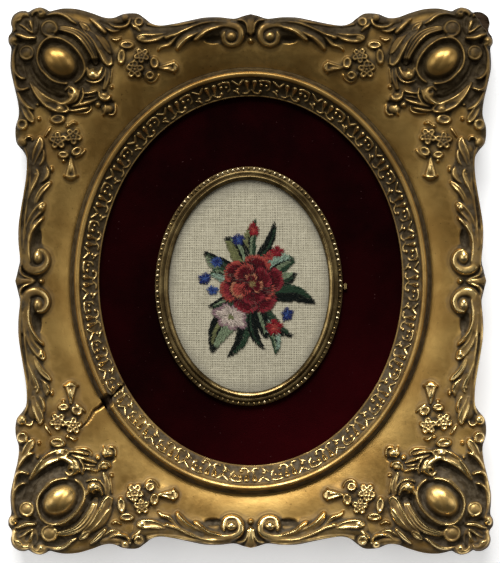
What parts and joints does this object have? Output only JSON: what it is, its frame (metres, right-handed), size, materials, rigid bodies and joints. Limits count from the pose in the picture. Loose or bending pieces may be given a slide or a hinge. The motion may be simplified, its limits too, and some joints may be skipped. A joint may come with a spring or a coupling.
{
  "type": "framed needlepoint with moulded gilt frame, velvet mount and oval brass bezel",
  "caption": "Small needlepoint rose spray on even-weave linen in an oval brass bezel, on dark red velvet in a moulded gilt frame with an oval sight.",
  "frame": {"origin": "middle of the flat back face, under the middle of the frame's outline", "axes": "+X to the picture's right, +Y to its top, +Z out of its face"},
  "size_m": [0.189, 0.2126, 0.0214],
  "materials": {
    "gilt": "antique gilding over moulded composition, dark toning in the hollows, rubbed bright on the ridges",
    "board": "plain brown fibre board",
    "velvet": "dark red cut-pile velvet",
    "brass": "aged lacquered brass with a beaded edge",
    "linen": "cream even-weave linen with wool and silk needlepoint"
  },
  "bodies": {
    "root": {"frame_moulding": "gilt", "back_board": "board", "velvet_mount": "velvet", "bezel": "brass", "bezel_knuckle": "brass", "linen_ground": "linen"}
  },
  "joints": []
}
